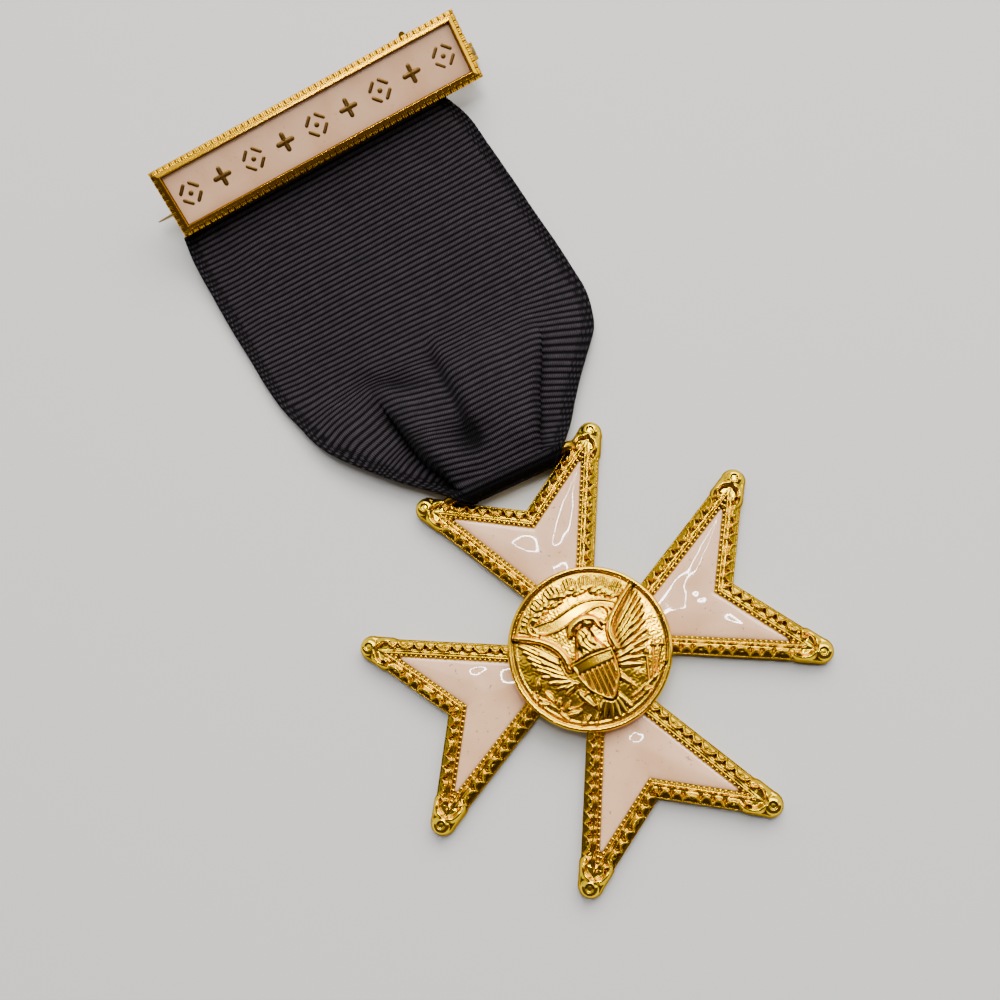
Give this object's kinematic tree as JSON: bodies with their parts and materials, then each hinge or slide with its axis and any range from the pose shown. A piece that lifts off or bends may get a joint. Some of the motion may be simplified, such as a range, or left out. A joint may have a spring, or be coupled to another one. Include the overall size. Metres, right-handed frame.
{
  "type": "enamelled order jewel",
  "caption": "Gilt Maltese cross with enamel cells and a struck medallion, hung by a gathered ribbon from an enamelled brooch bar with a hinged pin.",
  "frame": {"origin": "centre of the cross on its flat back", "axes": "+Y along the top arm to the brooch bar, +Z out of the enamelled face, +X to the wearer's left of the face"},
  "size_m": [0.0492, 0.0968, 0.0088],
  "materials": {
    "gilt_cross": "polished gilt",
    "gilt_medallion": "struck, polished gilt",
    "gilt_bar": "polished gilt",
    "gilt_wire": "drawn wire, gilt",
    "cell_enamel": "glossy cream enamel, domed",
    "panel_enamel": "glossy cream enamel, flat",
    "silk_ribbon": "ribbed black silk",
    "pin_wire": "plated wire"
  },
  "bodies": {
    "jewel": {"cross_frame": "gilt_cross", "enamel_top": "cell_enamel", "enamel_right": "cell_enamel", "enamel_bottom": "cell_enamel", "enamel_left": "cell_enamel", "medallion": "gilt_medallion", "ribbon": "silk_ribbon", "ribbon_rod": "gilt_wire", "bar_frame": "gilt_bar", "bar_enamel": "panel_enamel", "hinge_rivet": "gilt_wire"},
    "pin": {"pin_stem": "pin_wire"}
  },
  "joints": [
    {"name": "pin_hinge", "type": "hinge", "parent": "jewel", "child": "pin", "pos_m": [0.017, 0.0718, 0.00134], "axis": [0.0453, -0.8239, -0.565], "range_deg": [0, 100]}
  ]
}
